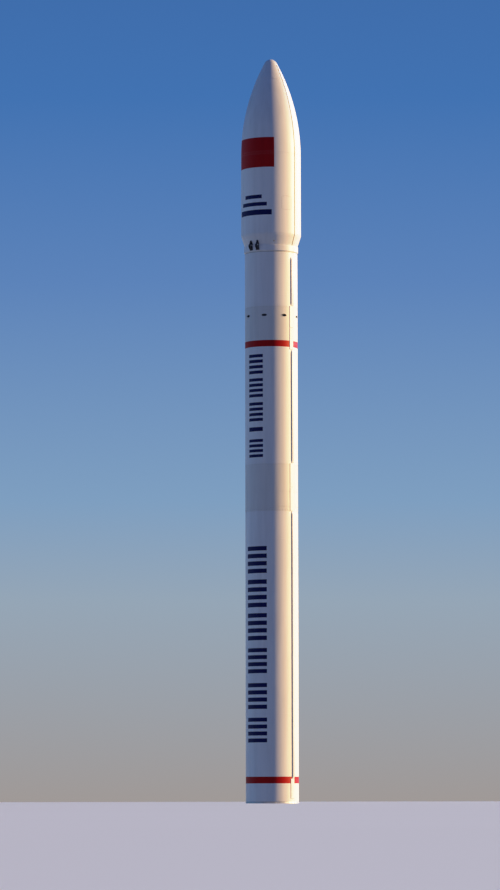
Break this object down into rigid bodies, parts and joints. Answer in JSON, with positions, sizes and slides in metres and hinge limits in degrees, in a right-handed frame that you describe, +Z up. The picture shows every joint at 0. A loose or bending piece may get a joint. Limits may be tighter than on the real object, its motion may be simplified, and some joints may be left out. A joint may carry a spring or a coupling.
{
  "type": "solid-fuel space launch rocket",
  "caption": "Slender upright launch rocket with motor stages in line, cable ducts, red bands, a wider two-half payload fairing on hinges and a steered nozzle in its skirt.",
  "frame": {"origin": "centre of the base plane, where the end ring stands on its launch table", "axes": "+Z up along the rocket, -Y towards its decorated face, +X towards the right-hand cable duct"},
  "size_m": [1.5966, 1.5966, 19.88],
  "materials": {
    "white_paint": "satin white paint",
    "duct_paint": "satin off-white paint",
    "red_paint": "satin red paint",
    "bare_metal": "machined",
    "dark_metal": "dark conversion coat",
    "ablative": "matt carbon cloth laminate",
    "rubber": "matt"
  },
  "bodies": {
    "vehicle": {"aft_skirt": "white_paint", "stage1_case": "white_paint", "joint_ring_1_2": "white_paint", "interstage_1_2_lower": "white_paint", "interstage_1_2_upper": "white_paint", "stage2_case": "white_paint", "interstage_2_3": "white_paint", "stage3_case": "white_paint", "fairing_ring": "white_paint", "cover_base_right": "duct_paint", "duct_stage1_right": "duct_paint", "cover_1_2_right": "duct_paint", "duct_stage2_right": "duct_paint", "cover_2_3_right": "duct_paint", "duct_stage3_right": "duct_paint", "cover_base_left": "duct_paint", "duct_stage1_left": "duct_paint", "cover_1_2_left": "duct_paint", "duct_stage2_left": "duct_paint", "cover_2_3_left": "duct_paint", "duct_stage3_left": "duct_paint", "red_band_lower": "red_paint", "red_band_upper": "red_paint", "base_ring": "bare_metal", "nozzle_boss": "bare_metal", "pitch_actuator_barrel": "bare_metal", "yaw_actuator_barrel": "bare_metal", "upper_stage": "bare_metal", "payload_ring": "bare_metal", "payload_adapter": "dark_metal"},
    "fairing_front": {"fairing_front_boat_tail": "white_paint", "fairing_front_panel": "white_paint", "fairing_front_nose": "white_paint", "fairing_front_cap": "white_paint", "fairing_access_door": "white_paint"},
    "fairing_rear": {"fairing_rear_boat_tail": "white_paint", "fairing_rear_panel": "white_paint", "fairing_rear_nose": "white_paint", "fairing_rear_cap": "white_paint"},
    "seal": {"flexible_seal": "rubber"},
    "nozzle": {"nozzle_head": "ablative", "nozzle_exit_cone": "ablative", "pitch_arm": "bare_metal", "yaw_arm": "bare_metal"},
    "pitch_rod": {"pitch_actuator_rod": "bare_metal"},
    "yaw_rod": {"yaw_actuator_rod": "bare_metal"}
  },
  "joints": [
    {"name": "fairing_front_hinge", "type": "hinge", "parent": "vehicle", "child": "fairing_front", "pos_m": [0, -0.765, 14.79], "axis": [1, 0, 0], "range_deg": [0, 60]},
    {"name": "fairing_rear_hinge", "type": "hinge", "parent": "vehicle", "child": "fairing_rear", "pos_m": [0, 0.765, 14.79], "axis": [-1, 0, 0], "range_deg": [0, 60]},
    {"name": "nozzle_pitch", "type": "hinge", "parent": "vehicle", "child": "seal", "pos_m": [0, 0, 0.56], "axis": [1, 0, 0], "range_deg": [-4, 4]},
    {"name": "nozzle_yaw", "type": "hinge", "parent": "seal", "child": "nozzle", "pos_m": [0, 0, 0.56], "axis": [0, 1, 0], "range_deg": [-4, 4]},
    {"name": "pitch_rod_slide", "type": "slide", "parent": "vehicle", "child": "pitch_rod", "axis": [0, 0, 1], "range_m": [-0.0386, 0.0386]},
    {"name": "yaw_rod_slide", "type": "slide", "parent": "vehicle", "child": "yaw_rod", "axis": [0, 0, 1], "range_m": [-0.0386, 0.0386]}
  ],
  "couplings": [
    {"joint": "pitch_rod_slide", "follows": "nozzle_pitch", "m_per_rad": -0.55},
    {"joint": "yaw_rod_slide", "follows": "nozzle_yaw", "m_per_rad": -0.55}
  ]
}
